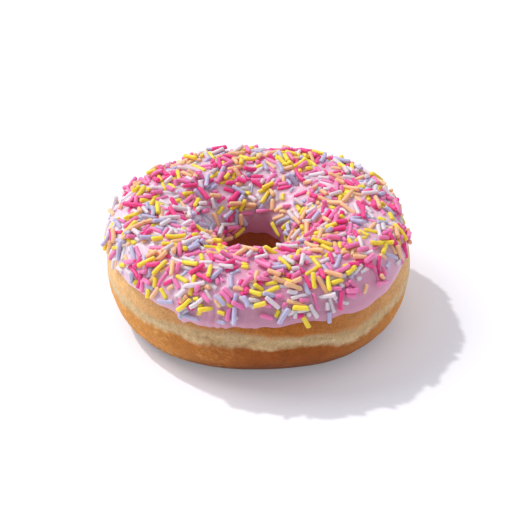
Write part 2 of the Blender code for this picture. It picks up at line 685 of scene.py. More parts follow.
    def blisters(self, turn: np.ndarray, points: np.ndarray) -> np.ndarray:
        """Find where small fat blisters rise on the lower crust.

        Args:
            turn: places around the ring, in radians.
            points: places on the plain dough, in millimetres.

        Returns:
            A number for each point, 0 for none and 1 at a blister's top.
        """
        domes = np.clip(1.0 - cells_at(points, self.blister_size) / 0.55, 0.0, 1.0)
        level = points[:, 2]
        below = smooth_step(self.belt_edges(turn)[1] - level, -1.2, 0.8)
        above_foot = smooth_step(level, 1.0, 4.0)
        patches = smooth_step(noise_at(points, 8.0, 4.0), -0.35, 0.25)
        side = 0.15 + sum(share * bell(turn, at, wide) for at, share, wide in self.blistered)
        outside = np.hypot(points[:, 0], points[:, 1]) > self.section.crest_radius
        return domes * below * above_foot * patches * np.clip(side, 0, 1) * outside


# The icing


@dataclass(frozen=True)
class SugarIcingFinish:
    """Set sugar icing: the eye sees a smooth, milky pale pink with a soft gloss, since light
    goes a millimetre in and comes out again."""

    tone: str = "#e8a3c0"
    deep_tone: str = "#d98fae"
    painted_gloss_tone: str = "#f8e4ec"
    hole_shade_tone: str = "#b96c86"
    front_edge_shade_tone: str = "#c691a5"
    roughness: float = 0.36
    patch_size: float = 6.0
    ripple_size: float = 3.2
    lump_size: float = 1.1
    relief: float = 0.35

    def make(self) -> bpy.types.Material:
        """Build the material.

        Returns:
            The icing's material, which reads the numbers kept on the icing's points.
        """
        surface = Surface("set_sugar_icing")
        patches, ripples, lumps = (
            surface.add(
                "ShaderNodeTexNoise",
                {"Vector": surface.place, "Scale": 1 / (size * MM), "Detail": 2.0, "Roughness": 0.55},
                "Fac",
            )
            for size in (self.patch_size, self.ripple_size, self.lump_size)
        )
        skin = surface.add(
            "ShaderNodeMix",
            {0: patches, 6: linear(self.deep_tone), 7: linear(self.tone)},
            2,
            data_type="RGBA",
        )
        # painted highlight and reflection draw the icing nearly white in bands around the ring;
        # painted shade draws it darker and browner at its front edge, turned from the key light, and
        # deeper pink in the hole
        for name, tone in (
            ("painted_gloss", self.painted_gloss_tone), ("thin", self.front_edge_shade_tone), ("hole", self.hole_shade_tone)
        ):
            share = surface.add("ShaderNodeAttribute", output="Fac", attribute_name=name)
            skin = surface.add(
                "ShaderNodeMix", {0: share, 6: skin, 7: linear(tone)}, 2, data_type="RGBA"
            )
        height = surface.add(
            "ShaderNodeMath", {0: lumps, 1: 0.4, 2: ripples}, operation="MULTIPLY_ADD"
        )
        normal = surface.add(
            "ShaderNodeBump", {"Height": height, "Strength": 0.6, "Distance": self.relief * MM}
        )
        surface.feed(skin, normal)
        surface.set(Roughness=self.roughness, IOR=1.5)
        surface.soften(0.8, 2.2, (1.0, 0.6, 0.75))
        return surface.material


@dataclass
class Icing:
    """The coat of icing, as one closed skin with rounded edges. Sizes are in millimetres.

    A flat ring, the blank, is wrapped over the dough. On the blank, share runs from 0 at the
    outer edge to 1 at the edge in the hole, and lift from 0 underneath to 1 on the face.
    """

    section: RingSection
    finish: SugarIcingFinish = field(default_factory=SugarIcingFinish)
    segments: int = 75
    cuts: int = 7
    face_strips: int = 128
    under_strips: int = 12
    lip_points: int = 5
    skin_length: float = 48.0
    gap: float = 0.05
    crest_thickness: float = 1.1
    edge_thickness: float = 0.75
    edge_height: float = 25.4
    edge_tilt: float = -0.5
    edge_saddle: float = 1.0
    hole_edge_height: float = 20.2
    hole_edge_saddle: float = -0.9
    # how high the icing creeps up a strand that lies in it, how soon that falls off beside the
    # strand, and how far out it is worked out at all
    creep_height: float = 0.34
    creep_reach: float = 0.42
    creep_search: float = 1.3
    # where the outer edge leaves that line: place in degrees, rise, width in degrees
    bumps: tuple[tuple[float, float, float], ...] = (
        (-146.0, -0.6, 16.0),
        (-110.0, -1.8, 11.0),
        (-84.0, -0.4, 8.0),
        (-74.0, 0.3, 6.0),
        (-49.0, -1.7, 13.5),
        (-16.0, 1.2, 8.0),
        (22.0, -1.0, 10.0),
        (74.0, -1.4, 12.0),
        (104.0, 0.6, 10.0),
        (140.0, -1.1, 12.0),
    )
    # small runs of icing at that edge: place in degrees, how far each hangs, width in degrees
    drips: tuple[tuple[float, float, float], ...] = (
        (-117.0, 1.5, 1.9),
        (-111.0, 0.3, 2.0),
        (-106.5, 0.5, 1.4),
        (-103.8, 0.7, 0.9),
        (-101.0, 0.5, 1.2),
        (-94.0, 0.5, 2.0),
        (-90.5, 0.5, 1.6),
        (-156.0, 0.8, 2.5),
        (-129.0, 0.3, 3.0),
        (-66.0, 0.4, 3.0),
        (-58.0, -0.4, 2.5),
        (-36.0, 0.3, 3.0),
        (31.0, 0.7, 2.2),
        (69.0, 0.9, 2.0),
        (82.0, 0.6, 2.6),
        (126.0, 0.5, 3.0),
        (152.0, 0.8, 2.2),
    )
    # where the icing ran down in ridges before it set: place, share, width in degrees
    ridged: tuple[tuple[float, float, float], ...] = ((-103.0, 1.0, 13.0), (74.0, 0.6, 12.0))
    # painted highlight and reflection, drawn nearly white, and the front edge's painted shade: the
    # same
    painted_gloss_bands: tuple[tuple[float, float, float], ...] = (
        (-172.0, 0.85, 50.0), (5.0, 0.5, 40.0), (95.0, 0.55, 50.0)
    )
    front_edge_shade: tuple[float, float, float] = (-80.0, 1.0, 38.0)

    def edge(self, turn: np.ndarray) -> np.ndarray:
        """Find the height of the outer edge, with its waves, bumps and drips.

        Args:
            turn: places around the ring, in radians.

        Returns:
            The height at each place, in millimetres.
        """
        level = self.edge_height + self.edge_tilt * np.cos(turn)
        level = level + self.edge_saddle * np.cos(2 * turn)
        level = level + 0.12 * np.sin(23 * turn) + 0.08 * np.sin(41 * turn + 1.0)
        for middle, rise, width in self.bumps:
            level = level + rise * bell(turn, middle, width)
        for middle, drop, width in self.drips:
            level = level - drop * bell(turn, middle, width)
        return level

    def hole_edge(self, turn: np.ndarray) -> np.ndarray:
        """Height of the edge in the hole, at each place around the ring."""
        saddle = self.hole_edge_saddle * np.cos(2 * turn)
        return self.hole_edge_height + saddle + 0.2 * np.sin(11 * turn)

    def angle(self, turn: np.ndarray, share: np.ndarray) -> np.ndarray:
        """Find where on the section a share of the way across the icing lies.

        Args:
            turn: places around the ring, in radians.
            share: how far across the icing each lies.

        Returns:
            The angle round the section for each.
        """
        section = self.section
        start = section.angle_at(
            self.edge(turn), section.outer_width(turn), section.shoulder_fullness
        )
        inner = section.angle_at(
            self.hole_edge(turn), section.inner_width(turn), section.hole_fullness
        )
        return start + share * (math.pi - inner - start)

    def thickness(self, turn: np.ndarray, share: np.ndarray, points: np.ndarray) -> np.ndarray:
        """Find how thick the icing is: full over the crest, thin at its edges, with a bead there.

        Args:
            turn: places around the ring, in radians.
            share: how far across the icing each lies.
            points: the same places on the plain dough, in millimetres.

        Returns:
            The thickness at each place, in millimetres.
        """
        inside = np.clip(share, 0.0, 1.0)
        body = self.crest_thickness - self.edge_thickness
        thick = self.edge_thickness + body * np.sin(math.pi * inside)
        distance = inside * self.skin_length
        thick = thick + 0.15 * np.exp(-(((distance - 1.2) / 1.1) ** 2))
        thick = thick + 0.14 * noise_at(points, 7.0, 3.0) * smooth_step(distance, 0.0, 3.0)
        return thick + self.runs(turn, distance)

    def painted_gloss(self, turn: np.ndarray, points: np.ndarray) -> np.ndarray:
        """Find where the icing is drawn nearly white, as a painted highlight and reflection.

        Args:
            turn: places around the ring, in radians.
            points: the same places, in millimetres.

        Returns:
            A number for each place, 0 for none and 1 for most.
        """
        side = sum(share * bell(turn, at, wide) for at, share, wide in self.painted_gloss_bands)
        patchy = 1.0 + 0.35 * noise_at(points, 9.0, 5.0)
        return np.clip(side * patchy, 0.0, 1.0)

    def thin(self, turn: np.ndarray, share: np.ndarray) -> np.ndarray:
        """Painted shade near the icing's outer edge at the front, turned from the key light: 0 to 1.
        """
        at, most, wide = self.front_edge_shade
        return most * bell(turn, at, wide) * (1.0 - smooth_step(share * self.skin_length, 3.0, 9.0))

    def runs(self, turn: np.ndarray, distance: np.ndarray) -> np.ndarray:
        """Find the thin upright ridges where the icing ran down before it set.

        Args:
            turn: places around the ring, in radians.
            distance: how far in from the outer edge each lies, in millimetres.

        Returns:
            The ridges' height at each place, in millimetres.
        """
        where = sum(share * bell(turn, at, wide) for at, share, wide in self.ridged)
        near_edge = smooth_step(distance, 9.0, 2.0) * smooth_step(distance, 0.0, 1.0)
        ridges = sum(bell(turn, middle, width * 0.8) for middle, _, width in self.drips)
        return 0.6 * ridges * where * near_edge

    def blank(self) -> list[tuple[float, float]]:
        """Draw the outline of the blank, with a half-round lip at each end.

        Returns:
            The outline's points as share and lift.
        """
        reach = self.edge_thickness / 2 / self.skin_length
        steps = [math.pi * (i + 1) / (self.lip_points + 1) for i in range(self.lip_points)]
        lip = [(reach * math.sin(step), 0.5 + 0.5 * math.cos(step)) for step in steps]
        face = [(i / self.face_strips, 1.0) for i in range(self.face_strips + 1)]
        under = [(1 - i / self.under_strips, 0.0) for i in range(self.under_strips + 1)]
        hole_lip = [(1 + out, lift) for out, lift in lip]
        outer_lip = [(-out, lift) for out, lift in reversed(lip)]
        return face + hole_lip + under + outer_lip

    def wrap(
        self, turn: np.ndarray, share: np.ndarray, height: np.ndarray
    ) -> tuple[np.ndarray, np.ndarray]:
        """Wrap points of the blank over the dough.

        Args:
            turn: places around the ring, in radians.
            share: how far across the icing each lies.
            height: each one's lift, from 0 underneath to 1 on the face.

        Returns:
            The points, and the places on the plain dough under them, in millimetres.
        """
        angle = self.angle(turn, share)
        base = self.section.point(turn, angle, np.zeros(len(turn)))
        lift = self.gap + height * self.thickness(turn, share, base)
        return self.section.point(turn, angle, lift), base

    def landing(self) -> BVHTree:
        """Make the net that strands land on, with the icing's own form.

        The order of the piece's points changes a little from run to run. The net's doesn't, so
        that the strands come to rest in the same places every time.

        Returns:
            The net, in metres.
        """
        outline = np.array(self.blank())
        columns = self.segments * (self.cuts + 1)
        turn = np.repeat(np.arange(columns) * math.tau / columns - math.pi, len(outline))
        share, height = np.tile(outline, (columns, 1)).T
        points = self.wrap(turn, share, height)[0] * MM
        here = np.arange(len(points)).reshape(columns, -1)
        ahead = np.roll(here, -1, axis=0)
        corners = (here, ahead, np.roll(ahead, -1, axis=1), np.roll(here, -1, axis=1))
        quads = np.stack(corners, axis=-1).reshape(-1, 4)
        return BVHTree.FromPolygons(points.tolist(), quads.tolist())

    def build(self) -> bpy.types.Object:
        """Make the icing's piece.

        Returns:
            The piece, which stands for the frame's icing.
        """
        shape = bmesh.new()
        share_layer = shape.verts.layers.float.new("share")
        lift_layer = shape.verts.layers.float.new("lift")
        verts = []
        for share, lift in self.blank():
            vert = shape.verts.new((2.0 - share, 0, lift))
            vert[share_layer], vert[lift_layer] = share, lift
            verts.append(vert)
        for first, second in zip(verts, verts[1:] + verts[:1]):
            shape.edges.new((first, second))
        spin_all_round(shape, self.segments, self.cuts)
        mesh = finished_mesh("icing_coat", shape)
        flat = read_points(mesh)
        turn = np.arctan2(flat[:, 1], flat[:, 0])
        share, height = take(mesh, "share"), take(mesh, "lift")
        points, base = self.wrap(turn, share, height)
        write_points(mesh, points * MM)
        # painted shade in the hole, a painted highlight and reflection in bands, and painted shade
        # near the front edge
        store(mesh, "hole", smooth_step(share, 0.8, 0.95))
        store(mesh, "painted_gloss", self.painted_gloss(turn, base))
        store(mesh, "thin", self.thin(turn, share))
        self.face = height > 0.99
        piece = place_piece("icing_coat", mesh, self.finish.make())
        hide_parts("icing")
        return piece

    def creep(self, piece: bpy.types.Object, strands: "StrandBed") -> None:
        """Raise the icing's face where it wets the strands that lie in it.

        Args:
            piece: the icing's piece.
            strands: the strands that have settled on it.
        """
        mesh = piece.data
        points = read_points(mesh) / MM
        normals = np.empty(len(points) * 3, np.float32)
        mesh.vertex_normals.foreach_get("vector", normals)
        normals = normals.reshape(-1, 3)
        tree = KDTree(len(points))
        for index in np.flatnonzero(self.face):
            tree.insert(points[index], int(index))
        tree.balance()
        rise = np.zeros(len(points))
        for start, stop, radius, low in zip(
            strands.start, strands.stop, strands.radius, strands.low
        ):
            if low > radius:
                continue
            middle = (start + stop) / 2
            half = np.linalg.norm(stop - start) / 2
            near = tree.find_range(middle, half + radius + self.creep_search)
            if not near:
                continue
            index = np.array([found[1] for found in near])
            away = distance_to_segment(points[index], start, stop) - radius
            wet = np.exp(-((np.clip(away, 0, None) / self.creep_reach) ** 1.3))
            wet = self.creep_height * wet * (1.0 if low < 0.6 * radius else 0.5)
            rise[index] = np.maximum(rise[index], wet)
        write_points(mesh, (points + normals * rise[:, None]) * MM)


def distance_to_segment(points: np.ndarray, start: np.ndarray, stop: np.ndarray) -> np.ndarray:
    """Measure from some points to the straight line between two ends.

    Args:
        points: the points, one row each.
        start: one end.
        stop: the other.

    Returns:
        The distance from each point.
    """
    along = stop - start
    share = np.clip((points - start) @ along / (along @ along), 0.0, 1.0)
    return np.linalg.norm(points - start - share[:, None] * along, axis=1)


# The sugar strands


class StrandTone(Enum):
    """The strands' colours: each has its sRGB colour and its share of the mix."""

    HOT_PINK = ("#ea3e8a", 0.155)
    ROSE = ("#ea7cb0", 0.235)
    YELLOW = ("#f2d63a", 0.17)
    PEACH = ("#f4be90", 0.125)
    LAVENDER = ("#bbb6d2", 0.125)
    WHITE = ("#ddd1d6", 0.19)

    @property
    def tone(self) -> str:
        """The colour as an sRGB hex value."""
        return self.value[0]

    @property
    def share(self) -> float:
        """The part of all strands that have this colour."""
        return self.value[1]


@dataclass(frozen=True)
class SugarStrandFinish:
    """Pressed sugar paste: the eye sees a dull sheen on a slightly lumpy, faintly see-through
    stick, because the paste is fine sugar grains bound with starch."""

    tone: str
    grain_size: float = 0.5
    relief: float = 0.1
    roughness: float = 0.45

    def make(self, name: str) -> bpy.types.Material:
        """Build the material.

        Args:
            name: the colour's name.

        Returns:
            The strands' material, which reads each strand's own tint.
        """
        surface = Surface(f"sugar_paste_{name}")
        scale = 1 / (self.grain_size * MM)
        # the real grain is about 0.1 mm, and is drawn coarser so that it shows
        grain = surface.add(
            "ShaderNodeTexNoise",
            {"Vector": surface.place, "Scale": scale, "Detail": 2.0, "Roughness": 0.55},
            "Fac",
        )
        tint = surface.add("ShaderNodeAttribute", output="Fac", attribute_name="tint")
        value = surface.add(
            "ShaderNodeMath", {0: grain, 1: 0.2, 2: tint}, operation="MULTIPLY_ADD"
        )
        color = surface.add(
            "ShaderNodeHueSaturation", {"Color": linear(self.tone), "Value": value}
        )
        normal = surface.add(
            "ShaderNodeBump", {"Height": grain, "Strength": 0.7, "Distance": self.relief * MM}
        )
        surface.feed(color, normal)
        surface.set(Roughness=self.roughness, IOR=1.5, Sheen_Weight=0.15, Sheen_Roughness=0.5)
        surface.soften(0.8, 1.1, (1.0, 0.7, 0.7))
        return surface.material


@dataclass
class StrandBed:
    """The strands laid so far, each as a line between two ends, in millimetres."""

    start: np.ndarray = field(default_factory=lambda: np.empty((0, 3)))
    stop: np.ndarray = field(default_factory=lambda: np.empty((0, 3)))
    radius: np.ndarray = field(default_factory=lambda: np.empty(0))
    low: np.ndarray = field(default_factory=lambda: np.empty(0))

    def add(self, start: np.ndarray, stop: np.ndarray, radius: float, low: float) -> None:
        """Keep a strand that has come to rest.

        Args:
            start: the centre of one rounded end.
            stop: the centre of the other.
            radius: its radius.
            low: the lower end's height over the icing's face.
        """
        self.start = np.vstack([self.start, start])
        self.stop = np.vstack([self.stop, stop])
        self.radius = np.append(self.radius, radius)
        self.low = np.append(self.low, low)

    def near(self, middle: np.ndarray, reach: float) -> np.ndarray:
        """Numbers of the strands whose middles lie within reach of a place."""
        middles = (self.start + self.stop) / 2
        return np.flatnonzero(np.linalg.norm(middles - middle, axis=1) < reach)

    def contacts(
        self, index: np.ndarray, start: np.ndarray, stop: np.ndarray, radius: float
    ) -> tuple[np.ndarray, np.ndarray, np.ndarray]:
        """Measure a new strand against some of the laid ones.

        Args:
            index: numbers of the laid strands.
            start: one end of the new strand.
            stop: its other end.
            radius: its radius.

        Returns:
            How far along the new strand each closest point is, the direction away from the laid
            strand there, and the depth of overlap, negative where they are clear.
        """
        line = stop - start
        lines = self.stop[index] - self.start[index]
        offset = start - self.start[index]
        own = line @ line
        theirs = np.einsum("ij,ij->i", lines, lines)
        cross = lines @ line
        lead = offset @ line
        lag = np.einsum("ij,ij->i", lines, offset)
        spread = np.maximum(own * theirs - cross * cross, 1e-9)
        share = np.clip((cross * lag - lead * theirs) / spread, 0.0, 1.0)
        other = np.clip((cross * share + lag) / theirs, 0.0, 1.0)
        share = np.clip((other * cross - lead) / own, 0.0, 1.0)
        away = offset + share[:, None] * line - other[:, None] * lines
        gap = np.linalg.norm(away, axis=1)
        depth = radius + self.radius[index] - gap
        return share, away / np.maximum(gap, 1e-6)[:, None], depth


@dataclass(frozen=True)
class Stray:
    """A strand laid across the icing's edge, listed at a place in degrees and a height."""

    tone: StrandTone
    place: float
    level: float
    roll: float
    length: float = 4.2


@dataclass
class StrandCoat:
    """The sugar strands scattered over the icing, one joined piece for each colour.

    Sizes are in millimetres and places around the ring in degrees.
    """

    icing: Icing
    count: int = 1340
    spare: int = 3
    seed: int = 11
    radius: float = 0.74
    radius_spread: float = 0.05
    length: float = 4.05
    length_spread: float = 1.15
    shortest: float = 2.2
    longest: float = 6.4
    broken_share: float = 0.05
    drop_height: float = 3.0
    drop_step: float = 0.2
    drop_steps: int = 24
    # each strand may turn and slide a little to where it overlaps the others least
    turns_tried: int = 9
    slide: float = 1.5
    careless_share: float = 0.1
    # a strand that would come to rest higher than this rolls off instead
    highest_end: float = 2.6
    rim_lower: float = 1.4
    highest_level: float = 3.7
    # bare icing above the outer edge: place, width, how far it reaches
    bare_bands: tuple[tuple[float, float, float], ...] = (
        (-134.0, 15.0, 0.8),
        (-80.0, 12.0, 1.4),
        (-38.0, 27.0, 2.4),
        (40.0, 25.0, 1.5),
        (110.0, 30.0, 1.2),
    )
    bare_least: float = 0.9
    # above that, strands lie thinly for this far at the back, and further at the front
    thin_band: float = 4.0
    thin_band_front: float = 5.5
    thin_share: float = 0.8
    # how far off a laid strand's middle can be and still be touched
    touch_reach: float = 5.8
    # how each strand differs from a plain rod: the slant of its ends, the lumps, the taper, the
    # usual bow, the share of strands that bend more and their bow, and the flattest section
    end_slant: float = 0.22
    lumps: float = 0.05
    taper: float = 0.06
    bow: float = 0.012
    bent_share: float = 0.2
    bent_bow: float = 0.045
    flattest: float = 0.9
    # how far off the dough the strays lie, and how much they lean out from upright
    stray_lift: float = 1.35
    stray_lean: float = 0.25
    strays: tuple[Stray, ...] = (
        Stray(StrandTone.YELLOW, -73.2, 24.4, -24.0),
        Stray(StrandTone.LAVENDER, -64.6, 24.2, 4.0, 3.4),
        Stray(StrandTone.WHITE, -76.8, 26.6, 0.0, 1.7),
        Stray(StrandTone.ROSE, -80.4, 29.2, 40.0, 1.9),
        Stray(StrandTone.LAVENDER, -116.4, 24.9, 38.0, 4.4),
        Stray(StrandTone.WHITE, -156.7, 26.3, -4.0, 3.4),
        Stray(StrandTone.HOT_PINK, -17.0, 28.0, 6.0, 4.8),
        Stray(StrandTone.PEACH, 97.0, 24.5, 25.0),
        Stray(StrandTone.HOT_PINK, 141.0, 24.0, -35.0),
    )

    def density(self, turn: np.ndarray, share: np.ndarray) -> np.ndarray:
        """Find how thickly strands lie.

        Args:
            turn: places around the ring, in radians.
            share: how far across the icing each lies.

        Returns:
            A number for each place, 0 on bare icing and 1 where it is full.
        """
        distance = share * self.icing.skin_length
        bare = sum(reach * bell(turn, place, width) for place, width, reach in self.bare_bands)
        bare = bare + self.bare_least
        thin = self.thin_band + self.thin_band_front * np.maximum(0.0, -np.sin(turn))
        begun = smooth_step(distance - bare, -0.4, 0.6)
        full = smooth_step((distance - bare) / thin, 0.45, 1.0)
        # down the sides of the hole strands reach further than down its back
        hole = 1.0 - smooth_step(share - 0.07 * np.abs(np.cos(turn)), 0.87, 0.94)
        return begun * (self.thin_share + (1.0 - self.thin_share) * full) * hole

    def draw_places(self, draw: np.random.Generator) -> tuple[np.ndarray, np.ndarray]:
        """Draw places on the icing, more of them where strands lie thickly.

        Args:
            draw: the source of random numbers.

        Returns:
            The points on the icing's face and the outward normals there.
        """
        amount = self.count * self.spare
        turn = draw.uniform(-math.pi, math.pi, amount * 5)
        share = draw.uniform(0.0, 1.0, amount * 5)
        angle = self.icing.angle(turn, share)
        probes = self.icing.section.point(turn, angle, np.full(len(turn), 2.0))
        wide = np.hypot(probes[:, 0], probes[:, 1]) / 50.0
        kept = np.flatnonzero(draw.uniform(size=len(turn)) < wide * self.density(turn, share))
        found = [self.skin.find_nearest(probe * MM) for probe in probes[kept[:amount]]]
        points = np.array([place for place, _, _, _ in found]) / MM
        return points, np.array([normal for _, normal, _, _ in found])

    def height(self, point: np.ndarray) -> tuple[float, np.ndarray]:
        """Measure a point above the icing's face.

        Args:
            point: the point, in millimetres.

        Returns:
            Its height in millimetres and the normal there.
        """
        place, normal, _, _ = self.skin.find_nearest(point * MM)
        normal = np.array(normal)
        return float((point - np.array(place) / MM) @ normal), normal

    def settle(
        self, start: np.ndarray, stop: np.ndarray, up: np.ndarray, radius: float, rest: float
    ) -> tuple[np.ndarray, np.ndarray]:
        """Lower a strand until it rests on the icing or on the strands below it.

        Args:
            start: the centre of one rounded end.
            stop: the centre of the other.
            up: the icing's outward normal under the strand.
            radius: its radius.
            rest: how high its centre line lies once it rests on the icing.

        Returns:
            Its two ends.
        """
        half = float(np.linalg.norm(stop - start)) / 2
        near = self.bed.near((start + stop) / 2, half + self.touch_reach)
        for _ in range(self.drop_steps):
            ends = []
            for end in (start, stop):
                height, normal = self.height(end)
                ends.append(end - normal * min(self.drop_step, height - rest))
            start, stop = ends
            share, away, depth = self.bed.contacts(near, start, stop, radius)
            for touching in np.flatnonzero(depth > 0.02):
                place = share[touching]
                push = away[touching] + 0.5 * up
                push = push / np.linalg.norm(push)
                force = 0.85 * depth[touching] / ((1 - place) ** 2 + place**2)
                start = start + push * force * (1 - place)
                stop = stop + push * force * place
            centre = (start + stop) / 2
            line = (stop - start) / np.linalg.norm(stop - start)
            start, stop = centre - line * half, centre + line * half
        return start, stop

    def overlap(self, start: np.ndarray, stop: np.ndarray, radius: float) -> float:
        """Measure how much a strand laid at a place would overlap those already there.

        Args:
            start: the centre of one rounded end.
            stop: the centre of the other.
            radius: its radius.

        Returns:
            The overlaps' depths added up, in millimetres.
        """
        half = float(np.linalg.norm(stop - start)) / 2
        near = self.bed.near((start + stop) / 2, half + self.touch_reach)
        return float(np.clip(self.bed.contacts(near, start, stop, radius)[2], 0, None).sum())

    def scatter(self) -> StrandBed:
        """Lay all the strands.

        Returns:
            The strands at rest.
        """
        draw = np.random.default_rng(self.seed)
        self.skin = self.icing.landing()
        self.bed = StrandBed()
        self.tones = []
        tones = list(StrandTone)
        shares = np.array([tone.share for tone in tones])
        top = self.icing.section.crest_height + self.highest_level
        for place, up in zip(*self.draw_places(draw)):
            if len(self.tones) == self.count:
                break
            radius = self.radius + draw.uniform(-self.radius_spread, self.radius_spread)
            half = max(self.draw_length(draw) / 2 - radius, 0.1)
            middle, reach = self.choose(place, up, half, radius, draw)
            rest = radius * (1.0 - draw.uniform(0.4, 1.05))
            high = middle + up * self.drop_height
            start, stop = self.settle(high - reach, high + reach, up, radius, rest)
            heights = [self.height(end)[0] for end in (start, stop)]
            if max(heights) > self.ceiling(place) or max(start[2], stop[2]) + radius > top:
                continue
            self.bed.add(start, stop, radius, min(heights))
            self.tones.append(tones[draw.choice(len(tones), p=shares / shares.sum())])
        return self.bed

    def ceiling(self, place: np.ndarray) -> float:
        """Find how high a strand's ends may lie, which is less at the hole's near rim.

        Args:
            place: where it landed on the icing, in millimetres.

        Returns:
            The height over the icing's face, in millimetres.
        """
        from_middle = float(np.hypot(place[0], place[1]))
        rim = bell(math.atan2(place[1], place[0]), -90.0, 55.0)
        rim = rim * (1.0 - smooth_step(from_middle, 23.0, 27.0))
        return self.highest_end - self.rim_lower * rim

    def draw_length(self, draw: np.random.Generator) -> float:
        """Draw a strand's length, a few of them broken.

        Args:
            draw: the source of random numbers.

        Returns:
            The length from tip to tip, in millimetres.
        """
        if draw.uniform() < self.broken_share:
            return draw.uniform(1.5, self.shortest)
        length = draw.normal(self.length, self.length_spread)
        return float(np.clip(length, self.shortest, self.longest))

    def choose(
        self, place: np.ndarray, up: np.ndarray, half: float, radius: float,
        draw: np.random.Generator,
    ) -> tuple[np.ndarray, np.ndarray]:
        """Turn and slide a strand until it finds room among those already there.

        Args:
            place: where it would land on the icing.
            up: the icing's outward normal there.
            half: half its length between the centres of its rounded ends.
            radius: its radius.
            draw: the source of random numbers.

        Returns:
            Its middle, lying flat on the icing, and the way from there to one end.
        """
        best = None
        tries = 1 if draw.uniform() < self.careless_share else self.turns_tried
        for _ in range(tries):
            side, away = (np.cross(up, draw.normal(size=3)) for _ in range(2))
            reach = side / np.linalg.norm(side) * half
            away = away / np.linalg.norm(away) * draw.uniform(0.0, self.slide)
            middle = place + away + up * radius
            score = self.overlap(middle - reach, middle + reach, radius)
            if best is None or score < best[0]:
                best = (score, middle, reach)
        return best[1:]

    def lay_strays(self) -> None:
        """Lay the strands that lie across the icing's edge."""
        section = self.icing.section
        for stray in self.strays:
            turn = math.radians(stray.place)
            width = section.outer_width(np.array([turn]))
            angle = section.angle_at(np.array([stray.level]), width, section.shoulder_fullness)
            out = np.array([math.cos(turn), math.sin(turn), self.stray_lean])
            out = out / np.linalg.norm(out)
            side = np.array([-math.sin(turn), math.cos(turn), 0.0])
            tilt = math.radians(stray.roll)
            along = np.cross(out, side) * math.cos(tilt) + side * math.sin(tilt)
            lift = np.array([self.stray_lift])
            middle = section.point(np.array([turn]), angle, lift)[0]
            reach = along * (stray.length / 2 - self.radius)
            self.bed.add(middle - reach, middle + reach, self.radius, self.radius / 2)
            self.tones.append(stray.tone)

    def strand_template(self, length: float) -> bpy.types.Mesh:
        """One plain strand of radius 1 along Z, with softly rounded ends.

        Args:
            length: its length in radii.

        Returns:
            The strand's mesh.
        """
        shape = bmesh.new()
        bmesh.ops.create_cone(
            shape, cap_ends=True, segments=8, radius1=1.0, radius2=1.0, depth=length
        )
        rims = [edge for edge in shape.edges if abs(edge.verts[0].co.z - edge.verts[1].co.z) < 0.1]
        bmesh.ops.bevel(
            shape, geom=rims, offset=0.42, segments=2, profile=0.5, affect="EDGES", material=-1
        )
        walls = [
            edge for edge in shape.edges
            if abs(edge.verts[0].co.z - edge.verts[1].co.z) > length / 2
        ]
        bmesh.ops.subdivide_edges(shape, edges=walls, cuts=3, use_grid_fill=True)
        bmesh.ops.recalc_face_normals(shape, faces=shape.faces[:])
        # an order of points that is the same in every run, since each point draws its own lump
        shape.verts.sort(key=lambda vert: 1000 * vert.co.z + 20 * vert.co.y + vert.co.x)
        return finished_mesh("strand", shape)

    def build(self) -> list[bpy.types.Object]:
        """Make one piece for each colour.

        Returns:
            The pieces.
        """
        draw = np.random.default_rng(self.seed + 1)
        plain_length = 6.0
        template = self.strand_template(plain_length)
        plain = read_points(template)
        joined = {tone: bmesh.new() for tone in StrandTone}
        tints = {tone: [] for tone in StrandTone}
        for start, stop, radius, tone in zip(
            self.bed.start, self.bed.stop, self.bed.radius, self.tones
        ):
            points = self.shape_strand(plain, plain_length, start, stop, radius, draw)
            write_points(template, points * MM)
            joined[tone].from_mesh(template)
            tints[tone].append(draw.uniform(0.86, 1.0))
        pieces = []
        for tone, shape in joined.items():
            name = tone.name.lower()
            mesh = finished_mesh(f"strands_{name}", shape)
            store(mesh, "tint", np.repeat(tints[tone], len(plain)))
            material = SugarStrandFinish(tone.tone).make(name)
            pieces.append(place_piece(f"strands_{name}", mesh, material))
        bpy.data.meshes.remove(template)
        return pieces

    def shape_strand(
        self, plain: np.ndarray, plain_length: float, start: np.ndarray, stop: np.ndarray,
        radius: float, draw: np.random.Generator,
    ) -> np.ndarray:
        """Stretch, bend and roughen the plain strand, and lay it between two ends.

        Args:
            plain: the plain strand's points.
            plain_length: its length in radii.
            start: the centre of one rounded end, in millimetres.
            stop: the centre of the other.
            radius: the strand's radius.
            draw: the source of random numbers.

        Returns:
            The strand's points in millimetres.
        """
        distance = float(np.linalg.norm(stop - start))
        along = (stop - start) / distance
        side = np.cross(along, draw.normal(size=3))
        side = side / np.linalg.norm(side)
        half = distance / 2 / radius + 1.0
        plain_half = plain_length / 2
        body = np.clip(plain[:, 2] / (plain_half - 0.5), -1.0, 1.0)
        stretched = plain[:, 2] + body * (half - plain_half)
        ends = smooth_step(np.abs(plain[:, 2]), plain_half - 1.0, plain_half - 0.4)
        tilt = draw.uniform(-self.end_slant, self.end_slant, size=(2, 2))
        lean = np.where(plain[:, 2] > 0, plain[:, :2] @ tilt[0], plain[:, :2] @ tilt[1])
        stretched = stretched + lean * ends
        thickness = 1.0 + self.lumps * draw.normal(size=len(plain))
        thickness = thickness * (1.0 + self.taper * draw.normal() * stretched / half)
        curve = draw.normal(0, self.bow)
        if draw.uniform() < self.bent_share:
            curve = draw.choice([-self.bent_bow, self.bent_bow])
        bend = curve * (stretched**2 - half**2 / 3)
        wide = plain[:, 0] * thickness + bend
        deep = plain[:, 1] * thickness * draw.uniform(self.flattest, 1.0)
        local = np.stack([wide, deep, stretched], axis=-1) * radius
        return (start + stop) / 2 + local @ np.stack([side, np.cross(along, side), along])


# The studio


